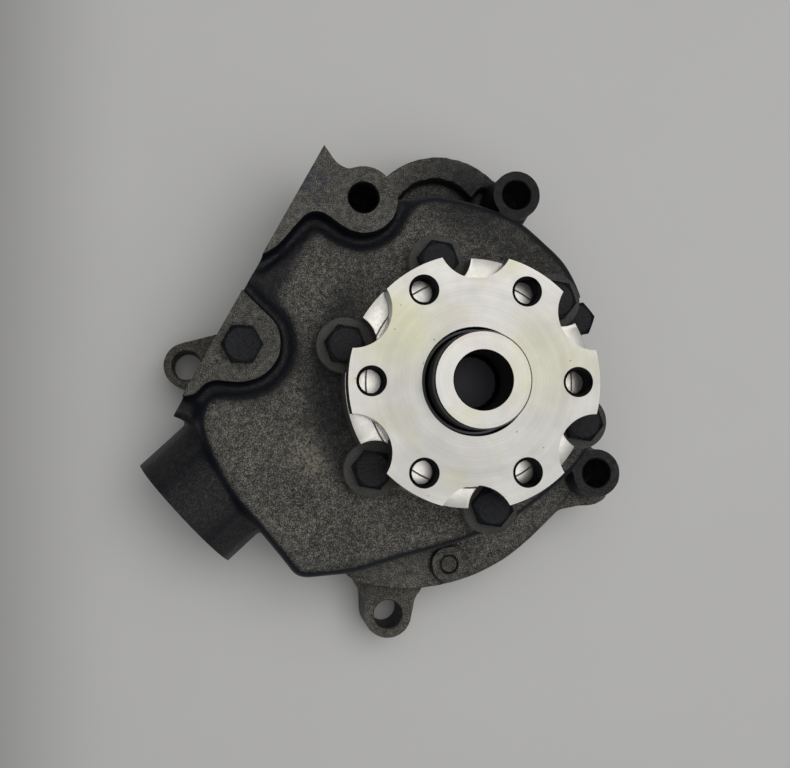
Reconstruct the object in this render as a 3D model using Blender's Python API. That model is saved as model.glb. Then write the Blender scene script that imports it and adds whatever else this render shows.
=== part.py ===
# Heavy-duty engine coolant pump: two cast housings, a bolted bearing housing with two bearings and a
# face seal, and a shaft that carries a drive hub in front and an impeller behind.
# The shaft stands along Z. Sizes below are in millimetres, from the shaft's axis and the engine face.
import math

import bmesh
import bpy
from mathutils import Vector
from mathutils.geometry import convex_hull_2d

MM = 0.001
GAP = 0.3                      # kept between pieces that touch on the real pump
SHAFT_AT = (0.03276, 0.0048)    # metres: the shaft's axis from the middle of the whole pump's base

# Levels along the shaft
SPLIT = 27.7                   # middle of the gasket between the rear housing and the casing
REAR_TOP = SPLIT - 0.6
CASING_FOOT = SPLIT + 0.6
FLANGE_TOP = 40.0              # casing's mounting flange
POCKET_FLOOR = 31.0            # inside the flange's crescent
TUBE_TOP = 58.0                # ends of the two bolt tubes
DECK = 68.0                    # casing's broad front wall
LUG_TOP = 77.0                 # side flange's lugs
SPOT = 77.5                    # bolt seats on the bearing housing
DISC = 91.0                    # bearing housing's machined front
HUB_BACK = 93.5
HUB_FACE = 105.0
NOSE = 120.0

# Shaft and hub
SHAFT_R = 12.0
SHAFT_TAIL_R = 10.0
SHAFT_TOP = 92.0
SHAFT_FOOT = 9.0
HUB_R = 54.0
HUB_HOLE_PITCH_R = 44.2
NOSE_R = 20.0
SLEEVE_R = 18.5
SLEEVE_FOOT = 78.0
SCALLOP_R = 16.3
SCALLOP_PITCH_R = 59.8
M12_TAPPED_R = 5.1

# Fasteners and the holes they fit
M10_R = 4.9
M10_HOLE_R = 5.3
M10_HEAD = 6.4
M10_FLATS = 16.0
M12_CLEAR_R = 6.75
RING_R = 55.7                  # bearing housing's bolt circle
RING_START = 42.5              # degrees
RING_LOBE_R = 12.2
NOTCH_R = 12.8
CASING_BOLT_FLATS = 15.0
CASING_BOLT_SEAT = 46.0

# Places across the shaft
TOP_LUG = (-44.6, 82.3)
LUG_BOLT = (-97.5, 16.4)
TUBE_A = (29.3, 89.3)
TUBE_B = (66.9, -40.5)
TUBE_R = 11.2
EAR_LEFT = (-123.3, 10.1)
EAR_LOW = (-27.3, -108.7)
CASING_BOLT = (60.0, 32.0)
DOWEL = (-0.4, -83.5)
DOWEL_R = 4.0
CHAMBER = (-10.0, -8.0)        # round pump chamber, set off from the shaft as a volute is
CHAMBER_R = 66.0
REAR_MIDDLE = (-15.0, -12.0)
REAR_R = 78.0

# Side flange: a straight machined face between these two ends
SIDE_TOP = Vector((-62.9, 103.6))
SIDE_FOOT = Vector((-126.7, -12.6))
SIDE_PORT_R = 12.0
SIDE_PORT_AT = 0.63            # from the foot to the top end
SIDE_PORT_Z = 46.0

# Hose stub
STUB_END = Vector((-123.3, -58.6))
STUB_ANGLE = 42.7              # degrees, the way from its end into the casing
STUB_Z = 35.0
STUB_R = 30.0
STUB_BORE_R = 25.0
STUB_LENGTH = 34.0

# Bearings: bore, outer radius, foot and top
FRONT_BEARING = (12.3, 31.0, 59.3, 76.3)
REAR_BEARING = (12.3, 26.0, 41.3, 55.5)
BALL_R = 5.0
BALLS = 8
ROLLER_R = 2.6
ROLLERS = 12

IMPELLER_R = 47.0
VANES = 6

FINE = 36                      # sides of the large round pieces
ROUND = 20
SMALL = 10


def polar(radius, degrees, centre=(0.0, 0.0)):
    turn = math.radians(degrees)
    return (centre[0] + radius * math.cos(turn), centre[1] + radius * math.sin(turn))


def arc(centre, radius, start, end, steps):
    return [polar(radius, start + (end - start) * i / steps, centre) for i in range(steps + 1)]


def circle(centre, radius, sides):
    return [polar(radius, 360.0 * i / sides, centre) for i in range(sides)]


def smooth(points, steps=2):
    """A curve through the points (Catmull-Rom), with straight ends."""
    knots = [Vector(p) for p in points]
    knots = [2 * knots[0] - knots[1]] + knots + [2 * knots[-1] - knots[-2]]
    curve = []
    for a, b, c, d in zip(knots, knots[1:], knots[2:], knots[3:]):
        for i in range(steps):
            t = i / steps
            bend = (2 * a - 5 * b + 4 * c - d) * t + (3 * b - a - 3 * c + d) * t * t
            curve.append(tuple(b + 0.5 * t * ((c - a) + bend)))
    return curve + [tuple(knots[-2])]


def hull(*shapes):
    """The outline of a band pulled round several shapes."""
    points = [Vector(p) for shape in shapes for p in shape]
    return [tuple(points[i]) for i in convex_hull_2d(points)]


def ring_angles():
    return [RING_START + 60.0 * i for i in range(6)]


def place(name, build):
    """Makes the object from a mesh in millimetres and hangs it on the pump's own frame."""
    bmesh.ops.remove_doubles(build, verts=build.verts, dist=0.0005)
    bmesh.ops.recalc_face_normals(build, faces=build.faces)
    bmesh.ops.scale(build, vec=Vector((MM, MM, MM)), verts=build.verts)
    mesh = bpy.data.meshes.new(name)
    build.to_mesh(mesh)
    build.free()
    return add(name, mesh)


def add(name, mesh):
    piece = bpy.data.objects.new(name, mesh)
    piece.parent = bpy.data.objects["pump_frame"]
    bpy.context.collection.objects.link(piece)
    return piece


def raise_outline(build, outline, low, high, crown=0.0):
    """Extrudes a closed outline from low to high, with the top edge rounded by crown."""
    face = build.faces.new([build.verts.new((x, y, low)) for x, y in outline])
    grown = bmesh.ops.extrude_face_region(build, geom=[face])["geom"]
    top = [item for item in grown if isinstance(item, bmesh.types.BMVert)]
    bmesh.ops.translate(build, vec=Vector((0, 0, high - low)), verts=top)
    if crown:
        lid = [item for item in grown if isinstance(item, bmesh.types.BMFace)]
        rim = list({edge for face in lid for edge in face.edges})
        bmesh.ops.bevel(build, geom=rim, offset=crown, segments=1, profile=0.5, affect="EDGES",
                        clamp_overlap=True)


def prism(name, outline, low, high, crown=0.0):
    build = bmesh.new()
    raise_outline(build, outline, low, high, crown)
    return place(name, build)


def pegs(name, places, radius, low, high, sides=SMALL):
    """Upright cylinders at several places, in one object: a cutter or a set of bosses."""
    build = bmesh.new()
    for centre in places:
        raise_outline(build, circle(centre, radius, sides), low, high)
    return place(name, build)


def turned(name, profile, sides):
    """Turns a profile of (radius, height) points about the shaft's axis; a ring's profile is a loop."""
    build = bmesh.new()
    verts = [build.verts.new((r, 0, z)) for r, z in profile]
    pairs = list(zip(verts, verts[1:]))
    if profile[0][0] > 0:
        pairs.append((verts[-1], verts[0]))
    edges = [build.edges.new(pair) for pair in pairs]
    bmesh.ops.spin(build, geom=verts + edges, cent=(0, 0, 0), axis=(0, 0, 1), dvec=(0, 0, 0),
                   angle=2 * math.pi, steps=sides, use_merge=True)
    return place(name, build)


def ring(name, inner, outer, low, high, sides=ROUND, chamfer=0.0):
    c = chamfer
    loop = [(inner, low), (outer, low), (outer, high), (inner, high)]
    if c:
        loop[1:3] = [(outer - c, low), (outer, low + c), (outer, high - c), (outer - c, high)]
    return turned(name, loop, sides)


def rod(name, start, along, radius, length, sides=ROUND):
    """A round bar from start, in the direction along."""
    piece = turned(name, [(0, 0), (radius, 0), (radius, length), (0, length)], sides)
    piece.location = Vector(start) * MM
    piece.rotation_mode = "QUATERNION"
    piece.rotation_quaternion = Vector((0, 0, 1)).rotation_difference(Vector(along))
    return piece


def combine(target, operand, operation):
    step = target.modifiers.new(operand.name, "BOOLEAN")
    step.operation = operation
    step.solver = "EXACT"
    step.object = operand
    operand.hide_render = True
    operand.display_type = "WIRE"


def join(target, *operands):
    for operand in operands:
        combine(target, operand, "UNION")


def cut(target, *operands):
    for operand in operands:
        combine(target, operand, "DIFFERENCE")


def finish(piece, colour, roughness, metallic):
    material = bpy.data.materials.new(piece.name)
    material.use_nodes = True
    shader = material.node_tree.nodes["Principled BSDF"]
    shader.inputs["Base Color"].default_value = (*colour, 1.0)
    shader.inputs["Roughness"].default_value = roughness
    shader.inputs["Metallic"].default_value = metallic
    piece.data.materials.append(material)
    return piece


def cast_iron(piece):
    return finish(piece, (0.075, 0.075, 0.068), 0.55, 0.6)


def steel(piece):
    return finish(piece, (0.62, 0.61, 0.58), 0.3, 1.0)


def black_steel(piece):
    return finish(piece, (0.018, 0.019, 0.022), 0.4, 0.8)


def rubber(piece):
    return finish(piece, (0.02, 0.02, 0.02), 0.75, 0.0)


def body_outline():
    """The casing seen from the front: the side face, the hose corner, the volute and the top lug."""
    left = smooth([(-117.5, -18.5), (-112.1, -32.7), (-102.9, -49.1), (-89.6, -65.1), (-74.5, -82.3)])
    corner = arc((-68.5, -78.0), 8.4, 215, 278, 4)
    low = smooth([(-47.8, -84.2), (-25.7, -77.9), (-2.8, -72.1), (17.0, -65.0), (28.5, -59.1), (48.0, -44.5),
                  (60.0, -31.5), (64.3, -19.5), (60.0, -6.0), (54.0, 8.0)])
    high = smooth([(52.5, 29.0), (58.6, 37.0), (56.7, 44.9), (50.1, 56.9), (40.6, 66.0), (29.8, 75.0),
                   (20.4, 79.4), (6.5, 83.7), (-9.0, 86.5), (-21.1, 85.3)])
    lug = arc(TOP_LUG, 14.2, 10, 110, 8)
    return left + corner + low + high + lug + [(-58.0, 97.0), tuple(SIDE_TOP), tuple(SIDE_FOOT)]


def cavity_outline():
    """The water space behind the front wall, drawn in round the lug bolt and the top lug."""
    return smooth([(-108.0, -12.0), (-107.5, -20.0), (-103.0, -35.0), (-94.0, -50.0), (-82.0, -63.0),
                   (-68.0, -76.0), (-48.0, -76.0), (-25.0, -70.0), (-2.0, -64.5), (16.0, -57.5),
                   (38.0, -43.0), (51.0, -28.0), (55.0, -18.0), (50.0, -3.0), (46.0, 10.0), (45.5, 22.0),
                   (46.5, 34.0), (43.0, 50.0), (33.0, 62.0), (18.0, 71.5), (4.0, 76.0), (-10.0, 79.0),
                   (-22.0, 77.0), (-31.0, 67.0), (-45.0, 61.0), (-60.0, 63.0), (-78.0, 50.0),
                   (-85.0, 38.0), (-79.0, 24.0), (-78.0, 10.0), (-84.0, 1.0), (-96.0, -4.0)], 1)


def side_way():
    """Unit vector out of the side face."""
    run = (SIDE_TOP - SIDE_FOOT).normalized()
    return Vector((-run.y, run.x))


def side_point(share, back=0.0):
    """A point along the side face, moved back into the casting."""
    return SIDE_FOOT.lerp(SIDE_TOP, share) - side_way() * back


def top_lug_outline():
    """The side flange's raised strip and the top lug, as far as the strip runs out to nothing."""
    inner = smooth([tuple(side_point(0.545, 0.4)), (-83.9, 58.9), (-76.5, 67.0), (-69.0, 75.2), (-63.0, 75.6),
                    (-55.5, 70.6)])
    lug = arc(TOP_LUG, 15.6, 240, 350, 8) + arc(TOP_LUG, 13.8, 10, 105, 6)
    edge = [tuple(side_point(0.985, 0.4)), tuple(side_point(0.56, 0.2))]
    return inner[1:] + lug + [(-58.5, 97.4)] + edge


def side_lug_outline():
    """The lug round the side bolt, from the side face inwards."""
    rim = smooth([tuple(side_point(0.47, 0.4)), (-93.3, 36.2), (-88.0, 31.0), (-83.0, 26.1), (-80.6, 19.0),
                  (-81.8, 11.0), (-87.1, 4.3), (-93.5, 1.1), (-101.0, 0.3), (-109.5, 1.4), (-114.8, -1.0)])
    return rim + [(-116.8, -6.0), tuple(side_point(0.035, 0.4)), tuple(side_point(0.46, 0.2))]


def flange_outline():
    """The mounting flange below and to the right of the casing's body."""
    low = smooth([(-52.0, -84.0), (-48.0, -88.6), (-41.0, -92.2), (-27.0, -94.9), (-12.8, -94.9),
                  (-2.0, -93.2), (12.2, -89.1), (26.2, -82.2), (37.5, -73.8), (47.9, -64.3), (54.0, -58.8)])
    inside = [(74.5, -32.0), (60.0, -20.0), (20.0, -40.0), (-30.0, -60.0)]
    return low + arc(TUBE_B, 16.5, 262, 312, 4) + [(78.0, -41.0)] + inside


def crest_outline():
    """The crescent at the top of the flange: a round rim with its own pocket."""
    return arc((-4.0, 72.9), 37.6, 20, 150, 14) + [(-30.0, 60.0), (25.0, 60.0)]


def volute_casing():
    casing = prism("volute_casing", body_outline(), CASING_FOOT, DECK, crown=4.0)
    crest = prism("crest", crest_outline(), CASING_FOOT, FLANGE_TOP)
    beside_tube = [(12.0, 86.0), (11.0, 89.5), (16.0, 96.0), (21.5, 97.0), (24.0, 90.0), (26.0, 76.0)]
    cut(crest, pegs("crest_pocket", [(-6.0, 78.0)], 21.4, POCKET_FLOOR, FLANGE_TOP + 5, ROUND),
        prism("tube_pocket", beside_tube, POCKET_FLOOR, FLANGE_TOP + 5))
    stub_way = Vector((math.cos(math.radians(STUB_ANGLE)), math.sin(math.radians(STUB_ANGLE)), 0))
    stub_end = Vector((*STUB_END, STUB_Z))
    join(casing, prism("top_lug", top_lug_outline(), 60.0, LUG_TOP, crown=0.8),
         prism("side_lug", side_lug_outline(), 60.0, LUG_TOP, crown=0.8),
         prism("mounting_flange", flange_outline(), CASING_FOOT, FLANGE_TOP, crown=0.8),
         crest,
         prism("tube_a_web", hull(circle(TUBE_A, TUBE_R, ROUND), [(20.0, 70.0), (30.0, 70.0)]),
               CASING_FOOT, FLANGE_TOP - 2),
         pegs("bolt_tubes", [TUBE_A, TUBE_B], TUBE_R, CASING_FOOT, TUBE_TOP, 24),
         pegs("dowel_boss", [DOWEL], 8.4, SPLIT + 2, 43.5, 16),
         pegs("casing_bolt_boss", [CASING_BOLT], 8.0, CASING_FOOT, CASING_BOLT_SEAT, 16),
         rod("hose_stub", stub_end, stub_way, STUB_R, STUB_LENGTH, 32))
    cut(casing, prism("water_space", cavity_outline(), 34.0, 61.0),
        pegs("chamber_mouth", [CHAMBER], CHAMBER_R, 20.0, 35.0, FINE),
        rod("hose_bore", stub_end - stub_way * 10, stub_way, STUB_BORE_R, STUB_LENGTH + 6, 32),
        rod("side_port", Vector((*side_point(SIDE_PORT_AT, -10), SIDE_PORT_Z)),
            Vector((*-side_way(), 0)), SIDE_PORT_R, 26, 16))
    ring_places = [polar(RING_R, angle) for angle in ring_angles()]
    join(casing, pegs("ring_bosses", ring_places, 9.5, 46.0, 63.0))
    cut(casing, pegs("pilot_bore", [(0, 0)], 39.2, 40.0, DECK + 5, FINE),
        pegs("ring_taps", ring_places, M10_HOLE_R, 48.5, DECK + 5),
        pegs("mount_holes", [TOP_LUG, TUBE_A, TUBE_B], M12_CLEAR_R, 15.0, LUG_TOP + 5, 16),
        pegs("bolt_holes", [LUG_BOLT, CASING_BOLT], M10_HOLE_R, 15.0, LUG_TOP + 5),
        pegs("dowel_hole", [DOWEL], DOWEL_R + GAP, 15.0, 50.0),
        pegs("casing_bolt_room", [CASING_BOLT], 9.3, CASING_BOLT_SEAT, DECK + 5, 16))
    cast_iron(casing)


def rear_housing():
    core = circle(REAR_MIDDLE, REAR_R, FINE)
    housing = prism("rear_housing", core, 0.0, REAR_TOP)
    lobes = {                  # tip, its radius, root, its radius
        "ear_left_web": (EAR_LEFT, 10.7, (-84.0, 9.0), 25.0),
        "ear_low_web": (EAR_LOW, 11.3, (-25.0, -84.0), 15.5),
        "rear_top_lug": (TOP_LUG, 12.5, (-36.0, 50.0), 14.0),
        "rear_tube_a": (TUBE_A, 11.0, (14.0, 50.0), 14.0),
        "rear_tube_b": (TUBE_B, 11.0, (38.0, -32.0), 18.0),
        "rear_bolt_lug": (CASING_BOLT, 9.0, (34.0, 18.0), 16.0),
    }
    for name, (tip, tip_r, root, root_r) in lobes.items():
        outline = hull(circle(tip, tip_r, ROUND), circle(root, root_r, ROUND))
        join(housing, prism(name, outline, 0.0, REAR_TOP))
    mounts = [EAR_LEFT, EAR_LOW, TOP_LUG, TUBE_A, TUBE_B]
    cut(housing, pegs("pump_chamber", [CHAMBER], CHAMBER_R, 5.5, SPLIT + 5, FINE),
        pegs("suction_port", [(0, 0)], 27.0, -5.0, 10.0, ROUND),
        pegs("rear_mount_holes", mounts, M12_CLEAR_R, -5.0, SPLIT + 5, 16),
        pegs("rear_taps", [LUG_BOLT, CASING_BOLT], M10_HOLE_R, 5.0, SPLIT + 5),
        pegs("rear_dowel_hole", [DOWEL], DOWEL_R + GAP, 9.0, SPLIT + 5),
        ring("seal_groove", 33.0, 37.4, -2.0, 3.2, FINE))
    cast_iron(housing)


def housing_gasket():
    """Flat gasket between the two castings, cut back round the bolts and the chamber."""
    sheet = prism("housing_gasket", circle(REAR_MIDDLE, REAR_R - 1.5, FINE), SPLIT - 0.3, SPLIT + 0.3)
    cut(sheet, pegs("gasket_mouth", [CHAMBER], CHAMBER_R + 0.8, 20.0, 35.0, FINE),
        pegs("gasket_dowel_hole", [DOWEL], DOWEL_R + 0.8, 20.0, 35.0))
    finish(sheet, (0.16, 0.17, 0.15), 0.8, 0.0)


def dowel_pin():
    c = 0.7
    foot, top = 10.0, 43.0
    pin = turned("dowel_pin", [(0, foot), (DOWEL_R - c, foot), (DOWEL_R, foot + c), (DOWEL_R, top - c),
                               (DOWEL_R - c, top), (0, top)], SMALL)
    pin.location = Vector((*DOWEL, 0)) * MM
    steel(pin)


def bearing_housing():
    """Flange with six bolt lobes, a notched drum in front and a stepped barrel behind."""
    housing = prism("bearing_housing", circle((0, 0), HUB_R, FINE), DECK + GAP, DISC)
    ring_places = [polar(RING_R, angle) for angle in ring_angles()]
    notches = bmesh.new()
    for spot, angle in zip(ring_places, ring_angles()):
        outside = polar(RING_R + 20, angle)
        outline = hull(circle(spot, NOTCH_R, SMALL), circle(outside, NOTCH_R, SMALL))
        raise_outline(notches, outline, SPOT, DISC + 5)
    nose = [(0, 30), (30.5, 30), (30.5, 52)]
    pilot = [(38.9, 54), (38.9, 55), (36.2, 55), (36.2, 59), (38.9, 59), (38.9, DECK + 5)]
    barrel = turned("barrel", nose + pilot + [(0, DECK + 5)], FINE)
    cut(housing, place("notches", notches))
    join(housing, pegs("ring_lobes", ring_places, RING_LOBE_R, DECK + GAP, SPOT, 16), barrel)
    cut(housing, turned("stepped_bore", [(0, 20), (20.3, 20), (20.3, 38), (17.0, 38), (17.0, 41), (26.3, 41),
                                         (26.3, 59), (31.3, 59), (31.3, 76.8), (33.2, 76.8), (33.2, 79),
                                         (31.3, 79), (31.3, DISC + 5), (0, DISC + 5)], 28),
        pegs("ring_holes", ring_places, M10_HOLE_R, DECK - 5, DISC))
    cast_iron(housing)


def o_ring(name, pitch_r, section_r, height):
    loop = [(pitch_r + x, height + z) for x, z in circle((0, 0), section_r, 6)]
    rubber(turned(name, loop, ROUND))


def bolt_mesh(name, flats, head, seat, foot):
    """A hexagon bolt: chamfered head on its seat, and a shank down to its foot."""
    build = bmesh.new()
    raise_outline(build, circle((0, 0), flats / math.sqrt(3), 6), seat + GAP, seat + GAP + head, crown=0.7)
    bolt = place(name, build)
    join(bolt, pegs(name + "_shank", [(0, 0)], M10_R, foot, seat + head - 1, 16))
    return bolt


def bolts():
    first = bolt_mesh("bearing_housing_bolt_1", M10_FLATS, M10_HEAD, SPOT, 52.0)
    bpy.context.view_layer.update()
    whole = first.evaluated_get(bpy.context.evaluated_depsgraph_get())
    mesh = bpy.data.meshes.new_from_object(whole)
    first.modifiers.clear()
    first.data = mesh
    copies = [first] + [add(f"bearing_housing_bolt_{i}", mesh.copy()) for i in range(2, 7)]
    for bolt, angle in zip(copies, ring_angles()):
        bolt.location = Vector((*polar(RING_R, angle), 0)) * MM
        bolt.rotation_euler.z = math.radians(angle + 8)
        black_steel(bolt)
    side = bolt_mesh("side_lug_bolt", M10_FLATS, M10_HEAD, LUG_TOP, 8.0)
    right = bolt_mesh("casing_bolt", CASING_BOLT_FLATS, 6.0, CASING_BOLT_SEAT, 8.0)
    for bolt, spot, turn in ((side, LUG_BOLT, 0), (right, CASING_BOLT, 10)):
        for piece in (bolt, bpy.data.objects[bolt.name + "_shank"]):
            piece.location = Vector((*spot, 0)) * MM
            piece.rotation_euler.z = math.radians(turn)
        black_steel(bolt)


def drive_hub():
    """Scalloped flange with six tapped holes, a hollow nose in front and a sleeve behind."""
    c = 0.8
    bore, groove_r, groove_floor = SHAFT_R + 0.2, NOSE_R + 3.0, HUB_FACE - 4.0
    back = [(bore, SLEEVE_FOOT), (SLEEVE_R, SLEEVE_FOOT), (SLEEVE_R, HUB_BACK), (HUB_R - c, HUB_BACK)]
    rim = [(HUB_R, HUB_BACK + c), (HUB_R, HUB_FACE - c), (HUB_R - c, HUB_FACE)]
    groove = [(groove_r, HUB_FACE), (groove_r, groove_floor), (NOSE_R, groove_floor)]
    nose = [(NOSE_R, NOSE - c), (NOSE_R - c, NOSE), (bore + c, NOSE), (bore, NOSE - c)]
    hub = turned("drive_hub", back + rim + groove + nose, FINE)
    scallops = [polar(SCALLOP_PITCH_R, 30 + 60 * i) for i in range(6)]
    holes = [polar(HUB_HOLE_PITCH_R, 60 * i) for i in range(6)]
    cut(hub, pegs("scallops", scallops, SCALLOP_R, HUB_BACK - 5, HUB_FACE + 5, 20),
        pegs("hub_holes", holes, M12_TAPPED_R, HUB_BACK - 5, HUB_FACE + 5, 12))
    steel(hub)


def pump_shaft():
    c = 1.0
    tail = [(0, SHAFT_FOOT), (SHAFT_TAIL_R - c, SHAFT_FOOT), (SHAFT_TAIL_R, SHAFT_FOOT + c)]
    shoulder = [(SHAFT_TAIL_R, 39.5), (SHAFT_R, 41.0)]
    head = [(SHAFT_R, SHAFT_TOP - c), (SHAFT_R - c, SHAFT_TOP), (0, SHAFT_TOP)]
    steel(turned("pump_shaft", tail + shoulder + head, ROUND))


def grooved_ring(name, straight_r, groove_r, pitch_r, mid, depth_sign, low, high):
    """A bearing ring whose raceway is an arc round the balls' centre line."""
    reach = BALL_R + 0.4
    half = math.degrees(math.acos(abs(groove_r - pitch_r) / reach))
    heading = 0 if depth_sign > 0 else 180
    race = arc((pitch_r, mid), reach, heading - depth_sign * half, heading + depth_sign * half, 4)
    profile = [(straight_r, low), (groove_r, low)] + race + [(groove_r, high), (straight_r, high)]
    steel(turned(name, profile, ROUND))


def front_bearing():
    bore, outer, low, high = FRONT_BEARING
    pitch = (bore + outer) / 2 + 0.4
    mid = (low + high) / 2
    grooved_ring("front_bearing_outer_ring", outer, pitch + 4.2, pitch, mid, 1, low, high)
    grooved_ring("front_bearing_inner_ring", bore, pitch - 4.2, pitch, mid, -1, low, high)
    cage = ring("front_bearing_ball_cage", pitch - 1.2, pitch + 1.2, mid - 2.5, mid + 2.5)
    build = bmesh.new()
    for i in range(BALLS):
        made = bmesh.ops.create_uvsphere(build, u_segments=8, v_segments=6, radius=BALL_R)
        bmesh.ops.translate(build, vec=Vector((*polar(pitch, 360 * i / BALLS), mid)), verts=made["verts"])
    join(cage, place("balls", build))
    steel(cage)


def rear_bearing():
    bore, outer, low, high = REAR_BEARING
    pitch = (bore + outer) / 2 + 0.3
    steel(ring("rear_bearing_outer_ring", pitch + ROLLER_R + 0.45, outer, low, high))
    steel(ring("rear_bearing_inner_ring", bore, pitch - ROLLER_R - 0.45, low, high))
    cage = ring("rear_bearing_roller_cage", pitch - 0.8, pitch + 0.8, low + 0.8, high - 0.8)
    rollers = [polar(pitch, 360 * i / ROLLERS) for i in range(ROLLERS)]
    join(cage, pegs("rollers", rollers, ROLLER_R, low + 2, high - 2, 8))
    finish(cage, (0.45, 0.33, 0.12), 0.4, 1.0)


def retaining_ring():
    """Snap ring with a gap, in the housing's groove above the front bearing."""
    outline = arc((0, 0), 32.6, 15, 345, 24) + arc((0, 0), 28.5, 345, 15, 24)
    black_steel(prism("bearing_retaining_ring", outline, 77.1, 78.7))


def face_seal():
    """Cartridge seal behind the rear bearing: cup, spring and carbon stand still, the seat turns."""
    wall = [(18.8, 36.7), (18.8, 30.3), (20.0, 30.3), (20.0, 37.7)]
    cup = turned("seal_body", [(11.2, 36.7)] + wall + [(11.2, 37.7)], ROUND)
    finish(cup, (0.55, 0.53, 0.5), 0.35, 1.0)
    finish(ring("seal_carbon_ring", 10.8, 15.6, 29.7, 32.2, ROUND, 0.5), (0.03, 0.03, 0.032), 0.4, 0.2)
    finish(ring("seal_seat_ring", SHAFT_TAIL_R + GAP, 16.0, 27.3, 29.4, ROUND), (0.3, 0.28, 0.26), 0.2, 0.1)
    seal_spring()


def seal_spring():
    """Two turns of round wire between the carbon ring and the cup."""
    build = bmesh.new()
    turns, steps, wire, pitch_r, low, high = 2, 12, 0.45, 14.0, 33.0, 36.0
    loops = []
    for i in range(turns * steps + 1):
        heading = 360 * i / steps
        height = low + (high - low) * i / (turns * steps)
        section = []
        for j in range(5):
            across, up = polar(wire, 72 * j)
            section.append(build.verts.new((*polar(pitch_r + across, heading), height + up)))
        loops.append(section)
    for near, far in zip(loops, loops[1:]):
        for j in range(5):
            build.faces.new((near[j], near[(j + 1) % 5], far[(j + 1) % 5], far[j]))
    build.faces.new(loops[0][::-1])
    build.faces.new(loops[-1])
    steel(place("seal_spring", build))


def vane_outline(turn):
    """One backward-curved vane: an arc of even thickness from the hub to the rim."""
    spine = [(15.0 + (IMPELLER_R - 16.0) * t / 6, turn - 62 * (t / 6) ** 0.8) for t in range(7)]
    lead = [polar(r, a + 57 * 1.5 / r) for r, a in spine]
    trail = [polar(r, a - 57 * 1.5 / r) for r, a in spine]
    return trail + lead[::-1]


def impeller():
    """Open impeller: a disc towards the seal and curved vanes towards the suction port."""
    bore = SHAFT_TAIL_R + GAP
    wheel = turned("impeller", [(bore, 10), (14.0, 10), (16.0, 14), (16.5, 22.5), (IMPELLER_R, 23.5),
                                (IMPELLER_R, 26.9), (bore, 26.9)], FINE)
    build = bmesh.new()
    for i in range(VANES):
        raise_outline(build, vane_outline(360 * i / VANES), 11.0, 25.0)
    join(wheel, place("vanes", build))
    finish(wheel, (0.09, 0.085, 0.08), 0.6, 0.5)


def main():
    for thing in list(bpy.data.objects):
        bpy.data.objects.remove(thing)
    frame = bpy.data.objects.new("pump_frame", None)
    frame.location = (*SHAFT_AT, 0)
    bpy.context.collection.objects.link(frame)
    volute_casing()
    rear_housing()
    housing_gasket()
    dowel_pin()
    bearing_housing()
    o_ring("bearing_housing_o_ring", 37.9, 1.0, 57.0)
    o_ring("engine_port_o_ring", 35.2, 1.5, 1.6)
    bolts()
    drive_hub()
    pump_shaft()
    front_bearing()
    rear_bearing()
    steel(ring("bearing_spacer", FRONT_BEARING[0], 16.0, 55.8, 59.0))
    retaining_ring()
    rubber(ring("front_dust_seal", SLEEVE_R + 0.4, 31.0, 80.0, 88.0, ROUND, 0.8))
    face_seal()
    impeller()
    for thing in bpy.data.objects:
        if thing.type == "MESH" and not thing.hide_render:
            thing.data.shade_smooth()
            thing.data.set_sharp_from_angle(angle=math.radians(35))


main()
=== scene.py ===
import math

import bpy
from mathutils import Matrix, Vector
from mathutils.geometry import convex_hull_2d


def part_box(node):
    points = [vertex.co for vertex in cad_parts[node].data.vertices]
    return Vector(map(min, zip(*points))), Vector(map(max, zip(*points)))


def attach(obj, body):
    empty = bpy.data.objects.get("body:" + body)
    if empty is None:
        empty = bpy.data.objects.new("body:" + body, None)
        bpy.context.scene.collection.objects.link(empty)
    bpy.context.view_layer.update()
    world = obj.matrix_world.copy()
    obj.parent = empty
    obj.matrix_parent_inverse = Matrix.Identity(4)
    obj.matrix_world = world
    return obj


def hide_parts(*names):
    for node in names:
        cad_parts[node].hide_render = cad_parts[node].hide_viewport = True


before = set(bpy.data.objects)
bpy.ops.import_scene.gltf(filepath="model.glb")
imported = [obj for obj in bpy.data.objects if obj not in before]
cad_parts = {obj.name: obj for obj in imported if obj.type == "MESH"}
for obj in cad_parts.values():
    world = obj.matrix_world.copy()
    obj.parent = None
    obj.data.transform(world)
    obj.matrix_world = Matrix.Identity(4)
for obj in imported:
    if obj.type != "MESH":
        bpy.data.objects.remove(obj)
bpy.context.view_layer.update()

mm = 0.001
shaftLow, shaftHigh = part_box("pump_shaft")
shaftX, shaftY = (shaftLow.x + shaftHigh.x) / 2, (shaftLow.y + shaftHigh.y) / 2

# levels along the shaft, in mm from the engine face
level = {
    "rearTop": 27.1, "casingFoot": 28.3, "pocket": 31.0, "flange": 40.0, "tubeTop": 58.0,
    "deck": 68.0, "lugTop": 77.0, "boltSeat": 77.5, "disc": 91.0, "hubBack": 93.5, "hubFace": 105.0,
    "nose": 120.0,
}
# places across the shaft, in mm from its axis
at = {
    "topLug": (-44.6, 82.3), "lugBolt": (-97.5, 16.4), "tubeA": (29.3, 89.3), "tubeB": (66.9, -40.5),
    "earLeft": (-123.3, 10.1), "earLow": (-27.3, -108.7), "casingBolt": (60.0, 32.0),
    "dowel": (-0.4, -83.5), "chamber": (-10.0, -8.0), "rear": (-15.0, -12.0),
    "sideFoot": (-126.7, -12.6), "sideTop": (-62.9, 103.6), "stubEnd": (-123.3, -58.6),
}
boltCircle = {"radius": 55.7, "start": 42.5}
mountHole = 6.75
boltHole = 5.3
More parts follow.
